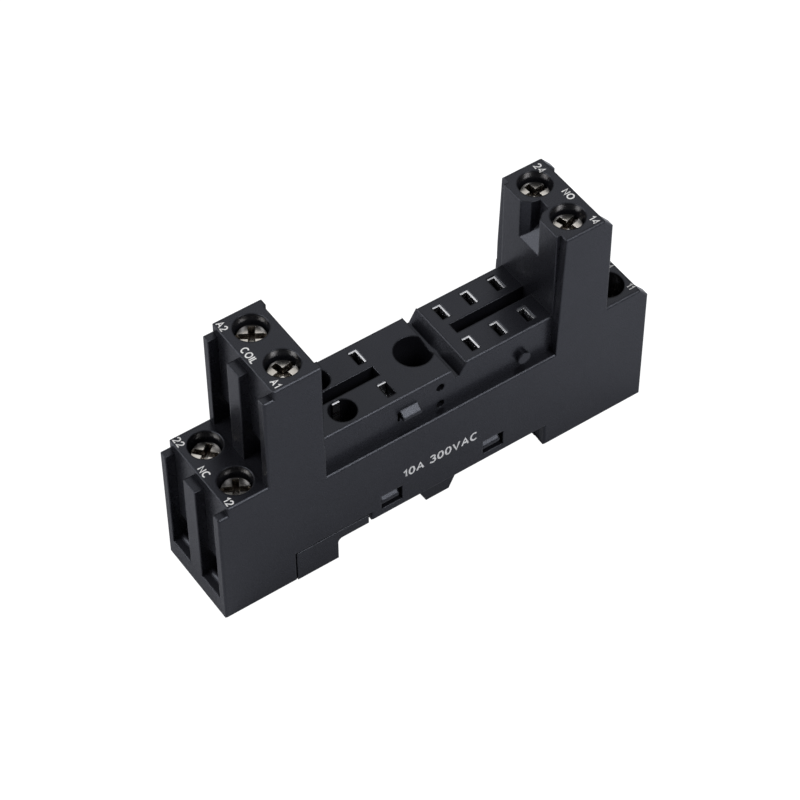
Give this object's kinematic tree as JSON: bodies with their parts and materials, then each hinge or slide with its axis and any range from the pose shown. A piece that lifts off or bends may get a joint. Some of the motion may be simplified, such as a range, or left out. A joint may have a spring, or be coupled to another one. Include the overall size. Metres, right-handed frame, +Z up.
{
  "type": "relay socket",
  "caption": "Narrow two-pole relay socket with screw terminals and lifting clamps, stepped towers at both ends and a sprung latch for a 35 mm rail.",
  "frame": {"origin": "centre of the bounding box on the plane that the feet stand on", "axes": "+X along the socket from the coil terminals (A1, A2) to the common terminals (11, 21), +Y across it towards terminals A2, 22, 24 and 21, +Z up, away from the rail"},
  "size_m": [0.0766, 0.0158, 0.0442],
  "materials": {
    "housing": "fine matte texture, charcoal",
    "base": "fine matte texture, charcoal",
    "latch": "smooth matte, charcoal",
    "screws": "nickel plated, turned",
    "clamps": "zinc plated",
    "contacts": "tin plated"
  },
  "bodies": {
    "socket": {"housing": "housing", "base": "base", "contact_a1": "contacts", "contact_a2": "contacts", "contact_12": "contacts", "contact_22": "contacts", "contact_11": "contacts", "contact_21": "contacts", "contact_14": "contacts", "contact_24": "contacts"},
    "latch": {"rail_latch": "latch"},
    "screw a1": {"screw_a1": "screws"},
    "clamp a1": {"clamp_a1": "clamps"},
    "screw a2": {"screw_a2": "screws"},
    "clamp a2": {"clamp_a2": "clamps"},
    "screw 12": {"screw_12": "screws"},
    "clamp 12": {"clamp_12": "clamps"},
    "screw 22": {"screw_22": "screws"},
    "clamp 22": {"clamp_22": "clamps"},
    "screw 11": {"screw_11": "screws"},
    "clamp 11": {"clamp_11": "clamps"},
    "screw 21": {"screw_21": "screws"},
    "clamp 21": {"clamp_21": "clamps"},
    "screw 14": {"screw_14": "screws"},
    "clamp 14": {"clamp_14": "clamps"},
    "screw 24": {"screw_24": "screws"},
    "clamp 24": {"clamp_24": "clamps"}
  },
  "joints": [
    {"name": "latch_slide", "type": "slide", "parent": "socket", "child": "latch", "axis": [1, 0, 0], "range_m": [-0.002, 0], "stiffness_N_per_m": 1000, "springref_m": 0.0005},
    {"name": "turn_a1", "type": "hinge", "parent": "socket", "child": "screw a1", "pos_m": [-0.0241, -0.004, 0.0404], "axis": [0, 0, 1], "range_deg": [-1800, 0]},
    {"name": "lift_a1", "type": "slide", "parent": "socket", "child": "clamp a1", "axis": [0, 0, 1], "range_m": [0, 0.0025]},
    {"name": "turn_a2", "type": "hinge", "parent": "socket", "child": "screw a2", "pos_m": [-0.0241, 0.004, 0.0404], "axis": [0, 0, 1], "range_deg": [-1800, 0]},
    {"name": "lift_a2", "type": "slide", "parent": "socket", "child": "clamp a2", "axis": [0, 0, 1], "range_m": [0, 0.0025]},
    {"name": "turn_12", "type": "hinge", "parent": "socket", "child": "screw 12", "pos_m": [-0.0329, -0.004, 0.0207], "axis": [0, 0, 1], "range_deg": [-1800, 0]},
    {"name": "lift_12", "type": "slide", "parent": "socket", "child": "clamp 12", "axis": [0, 0, 1], "range_m": [0, 0.0025]},
    {"name": "turn_22", "type": "hinge", "parent": "socket", "child": "screw 22", "pos_m": [-0.0329, 0.004, 0.0207], "axis": [0, 0, 1], "range_deg": [-1800, 0]},
    {"name": "lift_22", "type": "slide", "parent": "socket", "child": "clamp 22", "axis": [0, 0, 1], "range_m": [0, 0.0025]},
    {"name": "turn_11", "type": "hinge", "parent": "socket", "child": "screw 11", "pos_m": [0.03325, -0.004, 0.0188], "axis": [0, 0, 1], "range_deg": [-1800, 0]},
    {"name": "lift_11", "type": "slide", "parent": "socket", "child": "clamp 11", "axis": [0, 0, 1], "range_m": [0, 0.0025]},
    {"name": "turn_21", "type": "hinge", "parent": "socket", "child": "screw 21", "pos_m": [0.03325, 0.004, 0.0188], "axis": [0, 0, 1], "range_deg": [-1800, 0]},
    {"name": "lift_21", "type": "slide", "parent": "socket", "child": "clamp 21", "axis": [0, 0, 1], "range_m": [0, 0.0025]},
    {"name": "turn_14", "type": "hinge", "parent": "socket", "child": "screw 14", "pos_m": [0.02505, -0.004, 0.0404], "axis": [0, 0, 1], "range_deg": [-1800, 0]},
    {"name": "lift_14", "type": "slide", "parent": "socket", "child": "clamp 14", "axis": [0, 0, 1], "range_m": [0, 0.0025]},
    {"name": "turn_24", "type": "hinge", "parent": "socket", "child": "screw 24", "pos_m": [0.02505, 0.004, 0.0404], "axis": [0, 0, 1], "range_deg": [-1800, 0]},
    {"name": "lift_24", "type": "slide", "parent": "socket", "child": "clamp 24", "axis": [0, 0, 1], "range_m": [0, 0.0025]}
  ],
  "couplings": [
    {"joint": "turn_a1", "follows": "lift_a1", "rad_per_m": -12566},
    {"joint": "turn_a2", "follows": "lift_a2", "rad_per_m": -12566},
    {"joint": "turn_12", "follows": "lift_12", "rad_per_m": -12566},
    {"joint": "turn_22", "follows": "lift_22", "rad_per_m": -12566},
    {"joint": "turn_11", "follows": "lift_11", "rad_per_m": -12566},
    {"joint": "turn_21", "follows": "lift_21", "rad_per_m": -12566},
    {"joint": "turn_14", "follows": "lift_14", "rad_per_m": -12566},
    {"joint": "turn_24", "follows": "lift_24", "rad_per_m": -12566}
  ]
}
